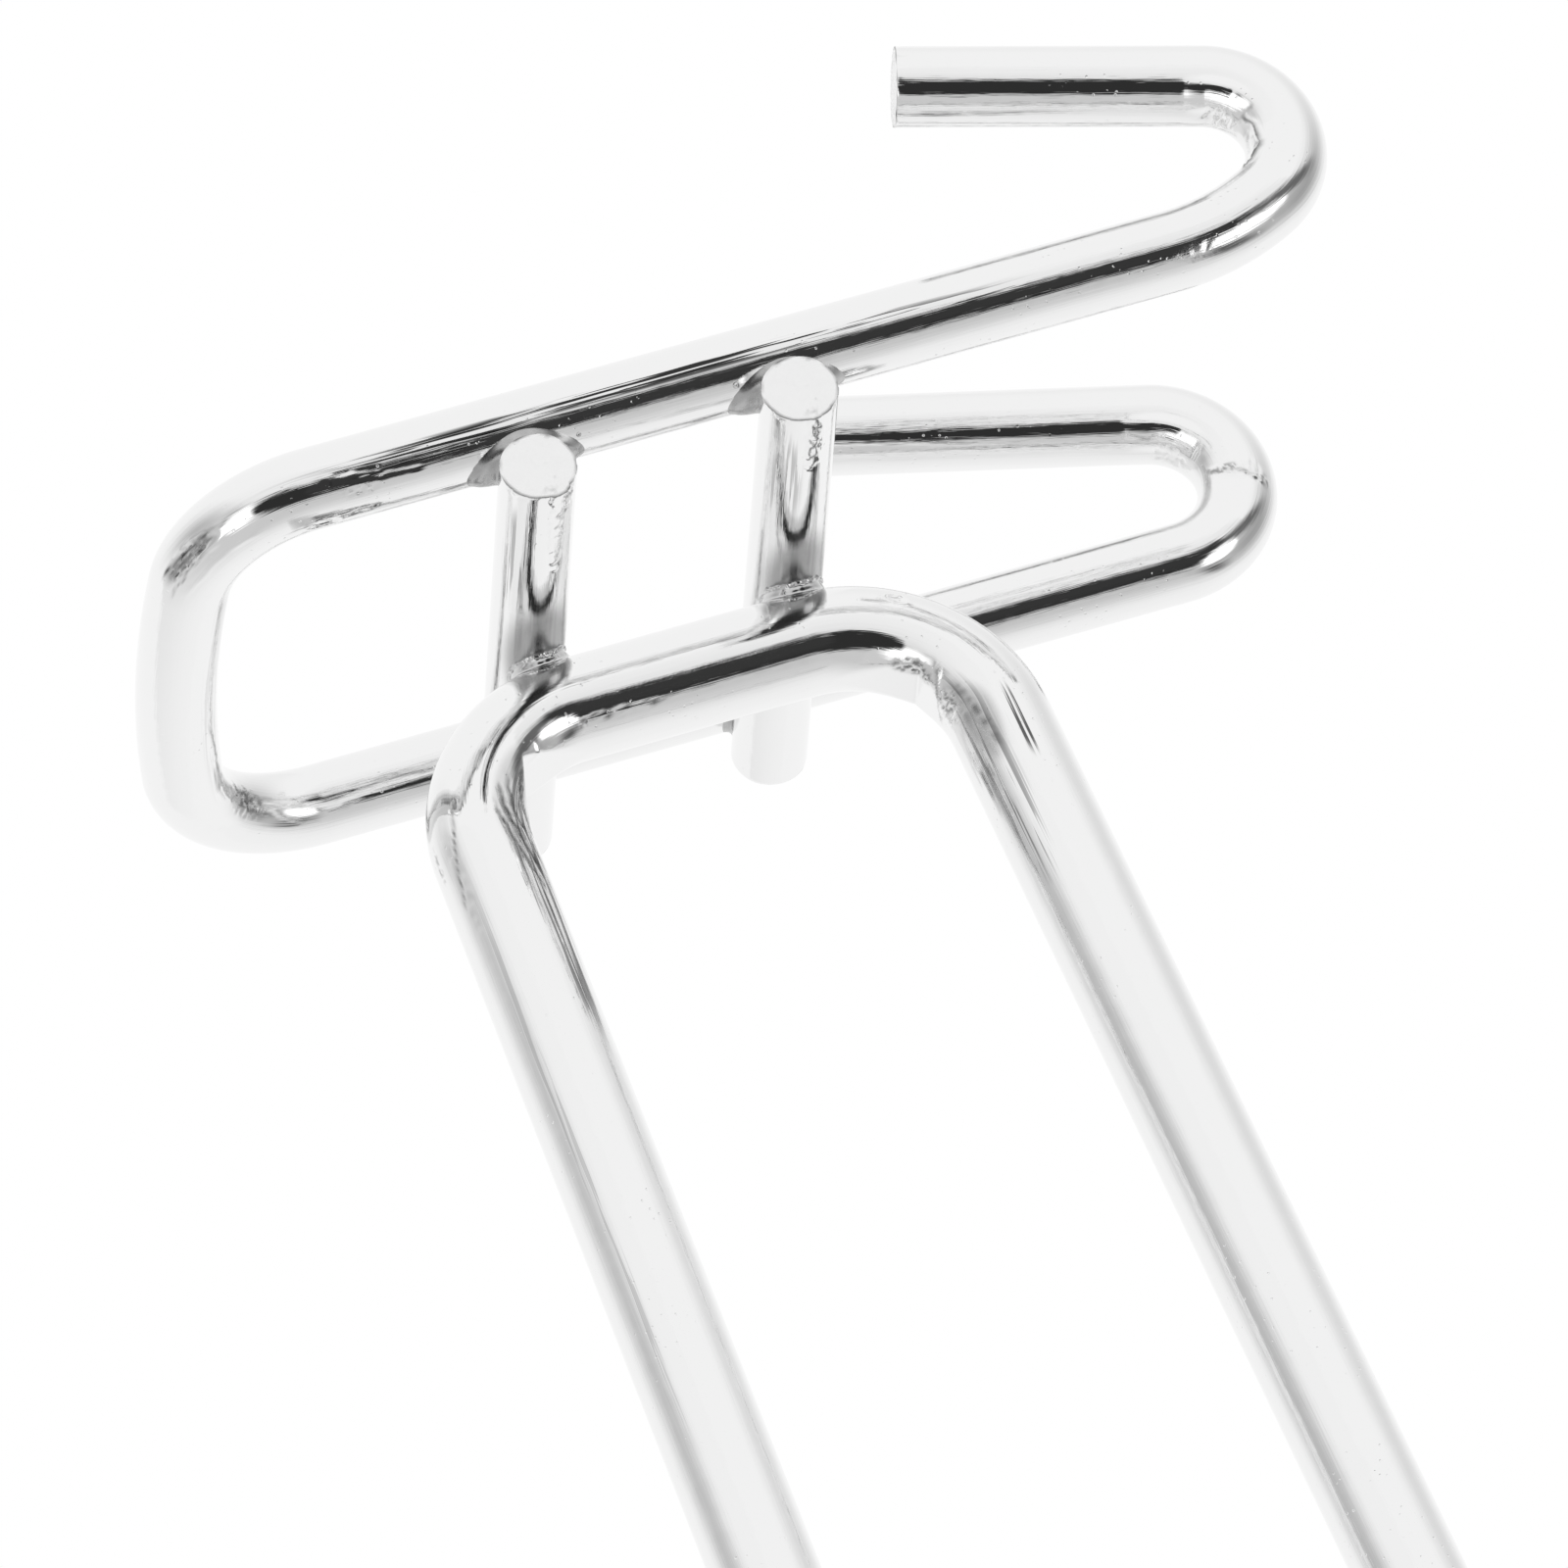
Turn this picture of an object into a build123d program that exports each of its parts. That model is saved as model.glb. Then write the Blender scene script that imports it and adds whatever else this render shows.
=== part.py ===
from build123d import *
import os
from math import asin, cos, degrees, radians, sin, tan

# A welded wire display hook, in millimetres. X runs across the hook, -Y is the front that the
# prongs point to, and +Z is up. The origin is the middle of the hanging line: the axis of the
# rail that both hairpins hook over.

# Wire diameters
FRAME_WIRE = 3.5
CROSSBAR_WIRE = 3.3
PRONG_WIRE = 4.5

# Back frame: heights are from the lowest point of the foot's centre line up to the highest
# point of an arm's centre line
ARM_SPACING = 25.0
LEFT_ARM_HEIGHT = 51.1
RIGHT_ARM_HEIGHT = 50.4
LEFT_FOOT_RADIUS = 5.25
RIGHT_FOOT_RADIUS = 6.4
FOOT_BOW_RADIUS = 65.0

# Hairpins: a gentle bend backwards off the arm, then the tight one. The opening is the angle
# between the arm and the tip leg.
GENTLE_TURN = 27.0
LEFT_GENTLE_RADIUS = 10.7
RIGHT_GENTLE_RADIUS = 3.9
LEFT_TIGHT_RADIUS = 3.5
RIGHT_TIGHT_RADIUS = 3.7
LEFT_OPENING = 18.0
RIGHT_OPENING = 15.7
LEFT_TIP_LENGTH = 13.2
RIGHT_TIP_LENGTH = 15.1

# Crossbars: heights above the foot, and how far each end stands past the arm's centre line
LOWER_CROSSBAR_HEIGHT = 14.7
UPPER_CROSSBAR_HEIGHT = 26.4
LOWER_LEFT_OVERHANG = 2.0
LOWER_RIGHT_OVERHANG = 1.6
UPPER_LEFT_OVERHANG = 2.4
UPPER_RIGHT_OVERHANG = 1.0

# Prong loop: heights above the foot of the corners where its three straight axes would meet
LOWER_PRONG_HEIGHT = 9.6
UPPER_PRONG_HEIGHT = 32.4
LOWER_BEND_RADIUS = 6.1
UPPER_BEND_RADIUS = 6.6
LOWER_PRONG_DROOP = 1.2
UPPER_PRONG_RISE = 1.9
PRONG_REACH = 100.0
LOOP_OFFSET = -0.5

# Welds: how deep crossed wires are pressed into each other, and how far the squeezed-out metal
# stands off the crossbar and off the wire that the crossbar crosses
WELD_DEPTH = 0.3
WELD_SPREAD = 0.4
WELD_RISE = 0.4

# Ends
SHEARED_EDGE = 0.12
PRONG_END_ROUNDING = 0.9

# Directions
ACROSS = Vector(1, 0, 0)
FRONT, BACK = Vector(0, -1, 0), Vector(0, 1, 0)
UP, DOWN = Vector(0, 0, 1), Vector(0, 0, -1)
LEFT, RIGHT = -1, 1

frame_radius = FRAME_WIRE / 2
crossbar_radius = CROSSBAR_WIRE / 2
prong_radius = PRONG_WIRE / 2


def crown_setback(gentle_radius, tight_radius):
    """Distance from an arm's axis back to the centre of its hairpin's tight bend."""
    return gentle_radius - (gentle_radius - tight_radius) * cos(radians(GENTLE_TURN))


left_setback = crown_setback(LEFT_GENTLE_RADIUS, LEFT_TIGHT_RADIUS)
right_setback = crown_setback(RIGHT_GENTLE_RADIUS, RIGHT_TIGHT_RADIUS)
left_seat_height = LEFT_ARM_HEIGHT - LEFT_TIGHT_RADIUS
right_seat_height = RIGHT_ARM_HEIGHT - RIGHT_TIGHT_RADIUS

arms_y = -(left_setback + right_setback) / 2
crossbars_y = arms_y - (frame_radius + crossbar_radius - WELD_DEPTH)
bridge_y = crossbars_y - (crossbar_radius + prong_radius - WELD_DEPTH)
foot_z = -(left_seat_height + right_seat_height) / 2
lower_crossbar_z = foot_z + LOWER_CROSSBAR_HEIGHT
upper_crossbar_z = foot_z + UPPER_CROSSBAR_HEIGHT


class BentWire:
    """A round wire laid down as a wire bender makes it: straight runs and bends, end to end."""

    def __init__(self, diameter, start, heading):
        self.section = Circle(diameter / 2)
        self.at = Vector(start)
        self.heading = Vector(heading)
        self.lengths = []

    def disc(self):
        return Plane(origin=self.at, z_dir=self.heading) * self.section

    def run(self, length):
        self.lengths.append(extrude(self.disc(), amount=length))
        self.at += self.heading * length

    def bend(self, radius, turn, about):
        """Turns the heading right-handed about a direction, by a number of degrees."""
        centre = self.at + about.cross(self.heading) * radius
        self.lengths.append(revolve(self.disc(), axis=Axis(centre, about), revolution_arc=turn))
        spin = Axis((0, 0, 0), about)
        self.at = centre + (self.at - centre).rotate(spin, turn)
        self.heading = self.heading.rotate(spin, turn)

    def solid(self):
        return self.lengths[0] + self.lengths[1:]


def end_edge(wire_solid, end):
    """The rim of a wire's cut end."""
    return wire_solid.edges().filter_by(GeomType.CIRCLE).sort_by_distance(end)[0]


def squeezed_metal(crossing, mate_radius, mate_y):
    """The collar of metal squeezed out where a crossbar is pressed into an upright wire."""
    spread_radius = crossbar_radius + WELD_SPREAD
    rise_radius = mate_radius + WELD_RISE
    along_bar = Plane(origin=crossing, z_dir=ACROSS) * Cylinder(spread_radius, 2 * rise_radius)
    mate_axis_point = Vector(crossing.X, mate_y, crossing.Z)
    return along_bar & Pos(*mate_axis_point) * Cylinder(rise_radius, 2 * spread_radius)


def crossing_points(x):
    """Where an upright wire at x crosses the two crossbars."""
    return [Vector(x, crossbars_y, z) for z in (lower_crossbar_z, upper_crossbar_z)]


def make_crossbar(left_overhang, right_overhang, z):
    start = Vector(LEFT * (ARM_SPACING / 2 + left_overhang), crossbars_y, z)
    bar = BentWire(CROSSBAR_WIRE, start, ACROSS)
    bar.run(left_overhang + ARM_SPACING + right_overhang)
    solid = bar.solid()
    return chamfer([end_edge(solid, end) for end in (start, bar.at)], SHEARED_EDGE)


def make_back_frame():
    half_bow = asin(
        (ARM_SPACING - LEFT_FOOT_RADIUS - RIGHT_FOOT_RADIUS)
        / (2 * FOOT_BOW_RADIUS - LEFT_FOOT_RADIUS - RIGHT_FOOT_RADIUS)
    )
    corner_turn = 90 - degrees(half_bow)
    bow_ends_z = foot_z + FOOT_BOW_RADIUS * (1 - cos(half_bow))

    def arm_length(height, gentle_radius, tight_radius, foot_radius):
        gentle_drop = (gentle_radius - tight_radius) * sin(radians(GENTLE_TURN))
        arm_top_z = foot_z + height - tight_radius - gentle_drop
        return arm_top_z - (bow_ends_z + foot_radius * cos(half_bow))

    opening = radians(LEFT_OPENING)
    crown = Vector(LEFT * ARM_SPACING / 2, arms_y + left_setback, foot_z + left_seat_height)
    up_the_tip = Vector(0, -sin(opening), cos(opening))
    tip_top = crown + Vector(0, cos(opening), sin(opening)) * LEFT_TIGHT_RADIUS
    left_tip_end = tip_top - up_the_tip * LEFT_TIP_LENGTH

    wire = BentWire(FRAME_WIRE, left_tip_end, up_the_tip)
    wire.run(LEFT_TIP_LENGTH)
    wire.bend(LEFT_TIGHT_RADIUS, 180 - LEFT_OPENING - GENTLE_TURN, ACROSS)
    wire.bend(LEFT_GENTLE_RADIUS, GENTLE_TURN, ACROSS)
    wire.run(arm_length(LEFT_ARM_HEIGHT, LEFT_GENTLE_RADIUS, LEFT_TIGHT_RADIUS, LEFT_FOOT_RADIUS))
    wire.bend(LEFT_FOOT_RADIUS, corner_turn, FRONT)
    wire.bend(FOOT_BOW_RADIUS, 2 * degrees(half_bow), FRONT)
    wire.bend(RIGHT_FOOT_RADIUS, corner_turn, FRONT)
    wire.run(arm_length(RIGHT_ARM_HEIGHT, RIGHT_GENTLE_RADIUS, RIGHT_TIGHT_RADIUS, RIGHT_FOOT_RADIUS))
    wire.bend(RIGHT_GENTLE_RADIUS, GENTLE_TURN, -ACROSS)
    wire.bend(RIGHT_TIGHT_RADIUS, 180 - RIGHT_OPENING - GENTLE_TURN, -ACROSS)
    wire.run(RIGHT_TIP_LENGTH)

    solid = wire.solid()
    solid = chamfer([end_edge(solid, end) for end in (left_tip_end, wire.at)], SHEARED_EDGE)
    for side in (LEFT, RIGHT):
        for crossing in crossing_points(side * ARM_SPACING / 2):
            solid += squeezed_metal(crossing, frame_radius, arms_y)
    return solid


def make_prong_loop():
    droop, rise = radians(LOWER_PRONG_DROOP), radians(UPPER_PRONG_RISE)
    lower_turn, upper_turn = 90 - LOWER_PRONG_DROOP, 90 - UPPER_PRONG_RISE
    lower_tangent = LOWER_BEND_RADIUS * tan(radians(lower_turn) / 2)
    upper_tangent = UPPER_BEND_RADIUS * tan(radians(upper_turn) / 2)
    lower_axis_length = (bridge_y + PRONG_REACH) / cos(droop)
    upper_axis_length = (bridge_y + PRONG_REACH) / cos(rise)

    lower_corner = Vector(LOOP_OFFSET, bridge_y, foot_z + LOWER_PRONG_HEIGHT)
    backwards = Vector(0, cos(droop), sin(droop))
    lower_end = lower_corner - backwards * lower_axis_length

    wire = BentWire(PRONG_WIRE, lower_end, backwards)
    wire.run(lower_axis_length - lower_tangent)
    wire.bend(LOWER_BEND_RADIUS, lower_turn, ACROSS)
    wire.run(UPPER_PRONG_HEIGHT - LOWER_PRONG_HEIGHT - lower_tangent - upper_tangent)
    wire.bend(UPPER_BEND_RADIUS, upper_turn, ACROSS)
    wire.run(upper_axis_length - upper_tangent)

    solid = wire.solid()
    solid = fillet([end_edge(solid, end) for end in (lower_end, wire.at)], PRONG_END_ROUNDING)
    for crossing in crossing_points(LOOP_OFFSET):
        solid += squeezed_metal(crossing, prong_radius, bridge_y)
    return solid


lower_crossbar = make_crossbar(LOWER_LEFT_OVERHANG, LOWER_RIGHT_OVERHANG, lower_crossbar_z)
upper_crossbar = make_crossbar(UPPER_LEFT_OVERHANG, UPPER_RIGHT_OVERHANG, upper_crossbar_z)
crossbars = [lower_crossbar, upper_crossbar]

nodes = {
    "back_frame": make_back_frame() - crossbars,
    "lower_crossbar": lower_crossbar,
    "upper_crossbar": upper_crossbar,
    "prong_loop": make_prong_loop() - crossbars,
}

os.makedirs("parts", exist_ok=True)
for name, solid in nodes.items():
    export_step(solid, f"parts/{name}.step")
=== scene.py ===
from itertools import pairwise
from math import asin, atan2, ceil, cos, degrees, exp, hypot, radians, sin, tan

import bmesh
import bpy
from mathutils import Matrix, Vector, noise


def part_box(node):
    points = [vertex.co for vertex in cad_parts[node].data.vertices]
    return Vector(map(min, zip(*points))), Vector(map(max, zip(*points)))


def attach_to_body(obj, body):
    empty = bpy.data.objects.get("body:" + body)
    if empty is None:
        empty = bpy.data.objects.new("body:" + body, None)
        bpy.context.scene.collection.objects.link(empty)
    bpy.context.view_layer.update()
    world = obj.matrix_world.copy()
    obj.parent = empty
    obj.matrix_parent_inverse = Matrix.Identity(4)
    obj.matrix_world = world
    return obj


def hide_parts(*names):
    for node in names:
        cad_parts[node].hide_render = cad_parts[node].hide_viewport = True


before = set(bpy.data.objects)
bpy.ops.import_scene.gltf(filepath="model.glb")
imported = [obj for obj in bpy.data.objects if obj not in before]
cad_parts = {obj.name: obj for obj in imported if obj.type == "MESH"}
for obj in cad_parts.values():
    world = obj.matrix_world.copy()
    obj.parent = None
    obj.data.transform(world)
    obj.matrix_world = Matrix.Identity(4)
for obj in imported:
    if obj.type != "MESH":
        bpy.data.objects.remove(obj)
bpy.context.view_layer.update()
MM = 0.001

# ---------------------------------------------------------------- driving dimensions, millimetres

FRAME_WIRE = 3.5
CROSSBAR_WIRE = 3.3
PRONG_WIRE = 4.5
ARM_SPACING = 25.0
LEFT_ARM_HEIGHT = 51.1
RIGHT_ARM_HEIGHT = 50.4
LEFT_FOOT_RADIUS = 5.25
RIGHT_FOOT_RADIUS = 6.4
FOOT_BOW_RADIUS = 65.0
GENTLE_TURN = 27.0
LEFT_GENTLE_RADIUS = 10.7
RIGHT_GENTLE_RADIUS = 3.9
LEFT_TIGHT_RADIUS = 3.5
RIGHT_TIGHT_RADIUS = 3.7
LEFT_OPENING = 18.0
RIGHT_OPENING = 15.7
LEFT_TIP_LENGTH = 13.2
RIGHT_TIP_LENGTH = 15.1
LOWER_PRONG_HEIGHT = 9.6
UPPER_PRONG_HEIGHT = 32.4
LOWER_BEND_RADIUS = 6.1
UPPER_BEND_RADIUS = 6.6
LOWER_PRONG_DROOP = 1.2
UPPER_PRONG_RISE = 1.9
PRONG_REACH = 100.0
PRONG_END_ROUNDING = 0.9
SHEARED_EDGE = 0.05
WELD_DEPTH = 0.3

# The skins keep this far inside the part's box, so that no mark stands out of it
TORN_LIP_ROOM = 0.08
SKIN_SHYNESS = 0.002

# ---------------------------------------------------------------- camera and studio

VIEW_AZIMUTH = -59.34
VIEW_ELEVATION = -12.9
VIEW_ROLL = 74.3
VIEW_DISTANCE = 0.87
VIEW_AIM = Vector((0.01204, -0.00962, -0.02104))
VIEW_LENS = 462.45

azimuth, elevation, roll = radians(VIEW_AZIMUTH), radians(VIEW_ELEVATION), radians(VIEW_ROLL)
view_back = Vector((sin(azimuth) * cos(elevation), -cos(azimuth) * cos(elevation), sin(elevation)))
level_right = Vector((cos(azimuth), sin(azimuth), 0))
view_right = Matrix.Rotation(roll, 3, view_back) @ level_right
view_up = view_back.cross(view_right)

camera_data = bpy.data.cameras.new("camera")
camera_data.lens = VIEW_LENS
camera_data.clip_start, camera_data.clip_end = 0.01, 20.0
camera = bpy.data.objects.new("camera", camera_data)
camera.matrix_world = (
    Matrix.Translation(VIEW_AIM + view_back * VIEW_DISTANCE)
    @ Matrix((view_right, view_up, view_back)).transposed().to_4x4()
)
bpy.context.collection.objects.link(camera)
bpy.context.scene.camera = camera
bpy.context.scene.view_settings.view_transform = "Standard"


def linear(hex_colour):
    """An sRGB hex colour as linear RGBA."""
    parts = [int(hex_colour[i : i + 2], 16) / 255 for i in (1, 3, 5)]
    return (*[p / 12.92 if p <= 0.04045 else ((p + 0.055) / 1.055) ** 2.4 for p in parts], 1.0)


def add(tree, kind, inputs=None, **settings):
    """Adds a node. An input is given a socket to link to, or a plain value."""
    node = tree.nodes.new("ShaderNode" + kind)
    for name, value in settings.items():
        setattr(node, name, value)
    for key, value in (inputs or {}).items():
        if isinstance(value, bpy.types.NodeSocket):
            tree.links.new(value, node.inputs[key])
        else:
            node.inputs[key].default_value = value
    return node


def empty_tree(owner):
    owner.use_nodes = True
    owner.node_tree.nodes.clear()
    return owner.node_tree


# The hook hangs in a white tent, with dark and bright cards round it. Each card has its degrees
# across and above the camera as the hook sees them, its half width, half height and roll in
# degrees, the softness of its edge, and its level, where the tent is about 1.
TENT_WHITE = 0.99
STUDIO_CARDS = {
    "table": (-8, -33, 75, 46, 21, 0.52, 0.66),
    "left_wall": (-73, 5, 29, 19, -13, 0.9, 0.50),
    "stand": (-27, -2, 20, 12, -31, 0.30, 0.45),
    "right_wall": (86, 6, 39, 24, 43, 0.88, 0.38),
    "lamp_head": (52, 27, 34, 9, 4, 0.4, 0.15),
    "lamp_foot": (55, -31, 14, 7, -12, 0.9, 0.1),
    "right_lamp": (48, -1, 16, 12, 40, 0.2, 1.6),
    "left_lamp": (-25, -12, 13, 19, 10, 0.3, 1.4),
    "camera_flag": (9, -3, 28, 21, -10, 0.09, 0.03),
    "camera_boom": (29, 12, 11, 20, -20, 0.15, 0.04),
}

world = bpy.data.worlds.new("light_tent")
bpy.context.scene.world = world
tree = empty_tree(world)
direction = add(tree, "TexCoord").outputs["Generated"]
light = TENT_WHITE
for across, above, half_width, half_height, card_roll, softness, level in STUDIO_CARDS.values():
    off_axis, bearing = radians(hypot(across, above)), atan2(above, across)
    aside = view_right * cos(bearing) + view_up * sin(bearing)
    towards = aside * sin(off_axis) + view_back * cos(off_axis)
    card_right = view_up.cross(towards).normalized()
    card_turn = Matrix.Rotation(radians(card_roll), 3, towards)
    card_axes = Matrix((card_turn @ card_right, card_turn @ towards.cross(card_right), towards))
    on_card = add(tree, "Mapping", {
        "Vector": direction,
        "Rotation": card_axes.transposed().to_euler(),
        "Scale": (sin(radians(half_width)), sin(radians(half_height)), 1.0),
    }, vector_type="TEXTURE").outputs[0]
    parts = add(tree, "SeparateXYZ", {0: on_card})
    in_plane = add(tree, "CombineXYZ", {0: parts.outputs[0], 1: parts.outputs[1]})
    reach = add(tree, "VectorMath", {0: in_plane.outputs[0]}, operation="LENGTH").outputs["Value"]
    edge = add(tree, "MapRange", {
        "Value": reach, "From Min": 1 - softness, "From Max": 1 + softness,
        "To Min": 1.0, "To Max": 0.0,
    }, interpolation_type="SMOOTHSTEP").outputs[0]
    facing = add(tree, "Math", {0: parts.outputs[2], 1: 0.0}, operation="GREATER_THAN").outputs[0]
    card = add(tree, "Math", {0: edge, 1: facing}, operation="MULTIPLY").outputs[0]
    light = add(tree, "Mix", {0: card, 2: light, 3: level}).outputs[0]
background = add(tree, "Background", {"Color": linear("#ffffff"), "Strength": light})
add(tree, "OutputWorld", {"Surface": background.outputs[0]})

# ---------------------------------------------------------------- stage

FLOOR_DROP = 320.0
FLOOR_RADIUS = 1500.0
BACKDROP_RADIUS = 8000.0


def finish_mesh(name, bm, finish, sharp=None):
    """Makes an object of a bmesh modelled in millimetres. Edges turn sharp past an angle."""
    bmesh.ops.scale(bm, vec=(MM, MM, MM), verts=bm.verts)
    mesh = bpy.data.meshes.new(name)
    bm.to_mesh(mesh)
    bm.free()
    mesh.materials.append(finish)
    mesh.shade_smooth()
    if sharp:
        mesh.set_sharp_from_angle(angle=radians(sharp))
    obj = bpy.data.objects.new(name, mesh)
    bpy.context.collection.objects.link(obj)
    return obj


def new_material(name):
    """A material with an empty tree, and that tree."""
    material = bpy.data.materials.new(name)
    return material, empty_tree(material)


# Matt white paper, lit by the tent and shaded by the hook
paper, tree = new_material("white_studio_paper")
shader = add(tree, "BsdfPrincipled", {"Base Color": linear("#f4f4f3"), "Roughness": 0.9})
add(tree, "OutputMaterial", {"Surface": shader.outputs[0]})
bm = bmesh.new()
below = Matrix.Translation((0, 0, -FLOOR_DROP))
bmesh.ops.create_circle(bm, cap_ends=True, radius=FLOOR_RADIUS, segments=96, matrix=below)
floor = finish_mesh("floor", bm, paper)
floor.visible_glossy = False

# A lit white cloth behind everything, which the camera sees and the hook doesn't
white, tree = new_material("white_backdrop")
glow = add(tree, "Emission", {"Color": linear("#ffffff"), "Strength": 1.0})
add(tree, "OutputMaterial", {"Surface": glow.outputs[0]})
bm = bmesh.new()
bmesh.ops.create_icosphere(bm, subdivisions=3, radius=BACKDROP_RADIUS)
backdrop = finish_mesh("backdrop", bm, white)
backdrop.visible_glossy = backdrop.visible_diffuse = backdrop.visible_shadow = False

# ---------------------------------------------------------------- plating
# Patterns follow the wire through the attribute straight_wire, whose unit is the millimetre, so a
# scale is how many waves there are to a millimetre. Heights are in micrometres.

MICROMETRE = 1e-6
SCORE_DEPTH = 12.0
TORN_DEPTH = 10.0
WELD_RIPPLE = 8.0


def plated_steel(name, draw_lines, orange_peel, pits, score_scale):
    """Bright nickel-chrome plate on drawn steel wire. It gives the eye a cold, pale mirror, thin
    enough to keep the wire's die lines, a faint orange peel and a few pinholes."""
    material, tree = new_material(name)
    wire_place = add(tree, "Attribute", attribute_name="straight_wire").outputs["Vector"]
    torn = add(tree, "Attribute", attribute_name="torn").outputs["Fac"]
    scored = add(tree, "Attribute", attribute_name="scored").outputs["Fac"]
    painted_shade_and_dulling = add(tree, "Attribute", attribute_name="painted_shade_and_dulling").outputs["Fac"]

    # Die lines are about 0.12 mm apart and run for some 6 mm
    drawn_out = add(tree, "Mapping", {"Vector": wire_place, "Scale": (1.0, 1.0, 0.02)}).outputs[0]
    lines = add(tree, "TexNoise", {
        "Vector": drawn_out, "Scale": 8.0, "Detail": 3.0, "Roughness": 0.7,
    }).outputs[0]
    height = add(tree, "Math", {0: lines, 1: draw_lines}, operation="MULTIPLY").outputs[0]

    # Orange peel has waves of about a millimetre
    peel = add(tree, "TexNoise", {"Vector": wire_place, "Scale": 0.8, "Detail": 1.0}).outputs[0]
    height = add(tree, "Math", {
        0: peel, 1: orange_peel, 2: height,
    }, operation="MULTIPLY_ADD").outputs[0]

    # Pinholes are 0.1 mm wide and 0.4 mm apart where the plate is poor
    cells = add(tree, "TexVoronoi", {"Vector": wire_place, "Scale": 2.4}).outputs["Distance"]
    holes = add(tree, "MapRange", {
        "Value": cells, "From Min": 0.08, "From Max": 0.16, "To Min": 1.0, "To Max": 0.0,
    }, interpolation_type="SMOOTHSTEP").outputs[0]
    poor = add(tree, "TexNoise", {"Vector": wire_place, "Scale": 0.25, "Detail": 2.0}).outputs[0]
    poor = add(tree, "MapRange", {"Value": poor, "From Min": 0.48, "From Max": 0.6}).outputs[0]
    holes = add(tree, "Math", {0: holes, 1: poor}, operation="MULTIPLY").outputs[0]
    height = add(tree, "Math", {0: holes, 1: -pits, 2: height}, operation="MULTIPLY_ADD").outputs[0]

    # Scored places: ragged grooves 0.1 mm wide and some 10 mm long, which the bender's jaws drew
    # along the wire
    scores = add(tree, "TexNoise", {
        "Vector": drawn_out, "Scale": score_scale, "Detail": 2.0, "Roughness": 0.6,
    }).outputs[0]
    grooves = add(tree, "MapRange", {
        "Value": scores, "From Min": 0.5, "From Max": 0.56,
    }, interpolation_type="SMOOTHSTEP").outputs[0]
    grooves = add(tree, "Math", {0: grooves, 1: scored}, operation="MULTIPLY").outputs[0]
    height = add(tree, "Math", {
        0: grooves, 1: -SCORE_DEPTH, 2: height,
    }, operation="MULTIPLY_ADD").outputs[0]

    # Torn places: a grain of 0.15 mm
    grain = add(tree, "TexNoise", {
        "Vector": wire_place, "Scale": 6.5, "Detail": 3.0, "Roughness": 0.6,
    }).outputs[0]
    grain = add(tree, "Math", {0: grain, 1: torn}, operation="MULTIPLY").outputs[0]
    height = add(tree, "Math", {
        0: grain, 1: TORN_DEPTH, 2: height,
    }, operation="MULTIPLY_ADD").outputs[0]
    bump = add(tree, "Bump", {"Height": height, "Distance": MICROMETRE, "Strength": 1.0}).outputs[0]

    # The plate is clear, and hazy where it is torn. Where marked dull it is rougher and painted
    # grey, black past 1, as painted shade and painted reflection; scored grooves are painted black
    # as painted shade
    haze = add(tree, "MapRange", {"Value": peel, "To Min": 0.02, "To Max": 0.05}).outputs[0]
    rough = add(tree, "Math", {0: torn, 1: 0.16, 2: haze}, operation="MULTIPLY_ADD").outputs[0]
    rough = add(tree, "Math", {0: painted_shade_and_dulling, 1: 0.2, 2: rough}, operation="MULTIPLY_ADD").outputs[0]
    colour = add(tree, "Mix", {
        0: grain, 6: linear("#f2f2f2"), 7: linear("#ececec"),
    }, data_type="RGBA").outputs[2]
    colour = add(tree, "Mix", {
        0: painted_shade_and_dulling, 6: colour, 7: linear("#b2b2b2"),
    }, data_type="RGBA").outputs[2]
    painted_black_shade = add(tree, "Math", {0: painted_shade_and_dulling, 1: 1.0}, operation="SUBTRACT", use_clamp=True).outputs[0]
    painted_black_shade = add(tree, "Math", {0: grooves, 1: painted_black_shade}, operation="MAXIMUM").outputs[0]
    colour = add(tree, "Mix", {
        0: painted_black_shade, 6: colour, 7: linear("#363636"),
    }, data_type="RGBA").outputs[2]
    shader = add(tree, "BsdfPrincipled", {
        "Base Color": colour, "Metallic": 1.0, "Roughness": rough, "Normal": bump,
    })
    add(tree, "OutputMaterial", {"Surface": shader.outputs[0]})
    return material


frame_plate = plated_steel("nickel_chrome_on_frame_wire", 9.0, 14.0, 12.0, 5.0)
crossbar_plate = plated_steel("nickel_chrome_on_cut_bars", 7.0, 10.0, 9.0, 4.5)
prong_plate = plated_steel("nickel_chrome_on_prong_wire", 6.0, 14.0, 12.0, 4.5)


def plated_weld(name, smooth, dull, light, dark):
    """The same plate over squeezed-out weld metal. It gives the eye a greyer shine than the wire's,
    with ripples of 0.5 mm and finer."""
    material, tree = new_material(name)
    place = add(tree, "TexCoord").outputs["Object"]
    ripple = add(tree, "TexNoise", {
        "Vector": place, "Scale": 2.2 / MM, "Detail": 4.0, "Roughness": 0.55,
    }).outputs[0]
    bump = add(tree, "Bump", {
        "Height": ripple, "Distance": WELD_RIPPLE * MICROMETRE, "Strength": 1.0,
    }).outputs[0]
    haze = add(tree, "MapRange", {"Value": ripple, "To Min": smooth, "To Max": dull}).outputs[0]
    colour = add(tree, "Mix", {
        0: ripple, 6: linear(light), 7: linear(dark),
    }, data_type="RGBA").outputs[2]
    shader = add(tree, "BsdfPrincipled", {
        "Base Color": colour, "Metallic": 1.0, "Roughness": haze, "Normal": bump,
    })
    add(tree, "OutputMaterial", {"Surface": shader.outputs[0]})
    return material


bead_plate = plated_weld("nickel_chrome_on_weld_beads", 0.01, 0.05, "#dedede", "#c4c4c4")
flash_plate = plated_weld("nickel_chrome_on_weld_flash", 0.2, 0.34, "#cccccc", "#aaaaaa")

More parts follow.
